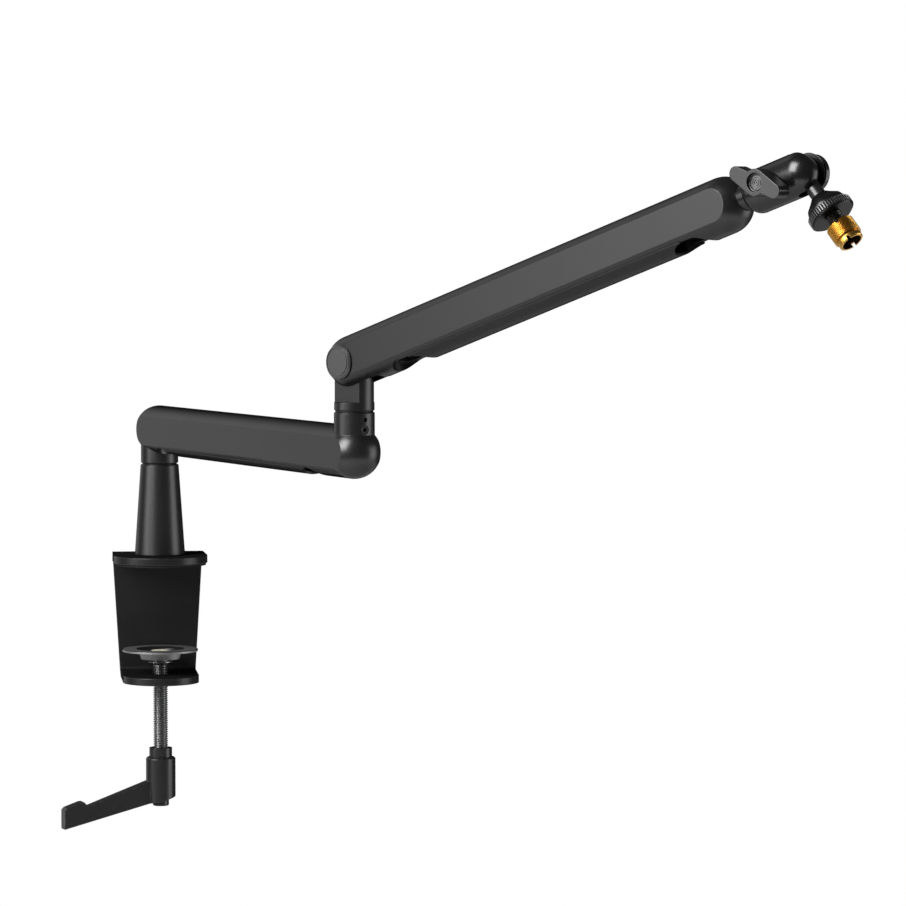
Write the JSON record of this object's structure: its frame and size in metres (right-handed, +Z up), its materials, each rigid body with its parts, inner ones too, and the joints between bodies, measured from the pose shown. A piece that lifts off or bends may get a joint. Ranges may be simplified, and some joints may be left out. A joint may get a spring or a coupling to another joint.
{
  "type": "microphone boom arm",
  "caption": "Low desk-clamped microphone boom arm with swivel post, tilting upper arm, covered cable channels and a ball head with threaded adapter.",
  "frame": {"origin": "on the post axis, in the underside of the rubber jaw pad, which lies on the desk top", "axes": "+Z up along the post, -Y out of the clamp's throat towards the desk, +X to the right of the clamp"},
  "size_m": [0.4107, 0.6345, 0.4376],
  "materials": {
    "satin_black": "satin powder coat on cast aluminium",
    "gloss_black": "semi-gloss black coat on cast zinc",
    "clamp_steel": "satin black coat on bent steel plate",
    "lever_black": "fine textured black coat on cast zinc",
    "black_plastic": "fine matt moulded plastic",
    "rubber": "matt rubber",
    "satin_zinc": "satin bead-blasted plate",
    "zinc_steel": "zinc plated steel",
    "bright_steel": "bright turned steel",
    "dark_steel": "black oxide steel",
    "brass": "turned brass"
  },
  "bodies": {
    "clamp": {"clamp_frame": "clamp_steel", "jaw_pad": "rubber", "post_bolt": "dark_steel", "riser_post": "satin_black", "post_bushing": "black_plastic"},
    "pad": {"pressure_pad": "satin_zinc"},
    "screw": {"clamp_screw": "zinc_steel", "pad_washer": "zinc_steel", "pad_head_screw": "bright_steel", "lever_insert": "dark_steel", "lever_end_screw": "dark_steel", "lever_spring": "zinc_steel"},
    "lever": {"clamp_lever": "lever_black"},
    "lower": {"lower_arm": "satin_black", "lower_cable_cover": "black_plastic", "base_spindle": "zinc_steel", "elbow_bushing": "black_plastic", "tension_set_screw": "dark_steel", "lock_set_screw": "dark_steel"},
    "elbow": {"elbow_knuckle": "satin_black", "elbow_spindle": "zinc_steel"},
    "upper": {"upper_arm": "satin_black", "upper_cable_cover": "black_plastic", "tilt_pin": "zinc_steel", "tilt_nut": "zinc_steel", "disc_springs": "zinc_steel", "friction_washers": "black_plastic", "near_pin_cap": "satin_black", "far_pin_cap": "satin_black", "neck_snap_ring": "zinc_steel"},
    "head": {"head_neck": "gloss_black", "head_barrel": "gloss_black", "socket_cap": "gloss_black", "brake_shoe": "brass"},
    "brake_screw": {"wing_screw": "zinc_steel"},
    "wing": {"wing_handle": "gloss_black"},
    "stud": {"ball_stud": "dark_steel"},
    "ring": {"lock_ring": "gloss_black"},
    "adapter": {"thread_adapter": "brass"}
  },
  "joints": [
    {"name": "clamp_travel", "type": "slide", "parent": "clamp", "child": "pad", "axis": [0, 0, 1], "range_m": [-0.0065, 0.044]},
    {"name": "clamp_turn", "type": "hinge", "parent": "pad", "child": "screw", "pos_m": [0, 0, -0.09], "axis": [0, 0, 1], "range_deg": [-1565, 10565]},
    {"name": "lever_lift", "type": "slide", "parent": "screw", "child": "lever", "axis": [0, 0, -1], "range_m": [0, 0.0045], "stiffness_N_per_m": 1500, "springref_m": -0.003, "deforming": ["lever_spring"]},
    {"name": "base_swivel", "type": "hinge", "parent": "clamp", "child": "lower", "pos_m": [0, 0, 0.067], "axis": [0, 0, 1], "continuous": true},
    {"name": "elbow_swivel", "type": "hinge", "parent": "lower", "child": "elbow", "pos_m": [0.10048, -0.30382, 0.1139], "axis": [0, 0, 1], "range_deg": [-135, 125]},
    {"name": "upper_tilt", "type": "hinge", "parent": "elbow", "child": "upper", "pos_m": [0.10048, -0.30382, 0.14374], "axis": [-0.7716, -0.6361, 0], "range_deg": [-47.7, 62.3]},
    {"name": "head_roll", "type": "hinge", "parent": "upper", "child": "head", "pos_m": [0.28227, -0.52434, 0.23495], "axis": [0.606, -0.7351, 0.304], "continuous": true},
    {"name": "wing_travel", "type": "slide", "parent": "head", "child": "brake_screw", "axis": [-0.7716, -0.6361, 0], "range_m": [0, 0.002]},
    {"name": "wing_turn", "type": "hinge", "parent": "brake_screw", "child": "wing", "pos_m": [0.30651, -0.55375, 0.24711], "axis": [-0.7716, -0.6361, 0], "range_deg": [0, 720.5]},
    {"name": "stud_tilt", "type": "hinge", "parent": "head", "child": "stud", "pos_m": [0.3165, -0.56588, 0.25213], "axis": [-0.7716, -0.6361, 0], "range_deg": [-24.5, 155.5]},
    {"name": "ring_turn", "type": "hinge", "parent": "stud", "child": "ring", "pos_m": [0.33447, -0.58767, 0.22098], "axis": [0.4273, -0.5183, -0.7408], "continuous": true},
    {"name": "adapter_turn", "type": "hinge", "parent": "stud", "child": "adapter", "pos_m": [0.33447, -0.58767, 0.22098], "axis": [0.4273, -0.5183, -0.7408], "continuous": true}
  ],
  "couplings": [
    {"joint": "clamp_turn", "follows": "clamp_travel", "rad_per_m": 4188.8},
    {"joint": "wing_turn", "follows": "wing_travel", "rad_per_m": 6283.2}
  ]
}
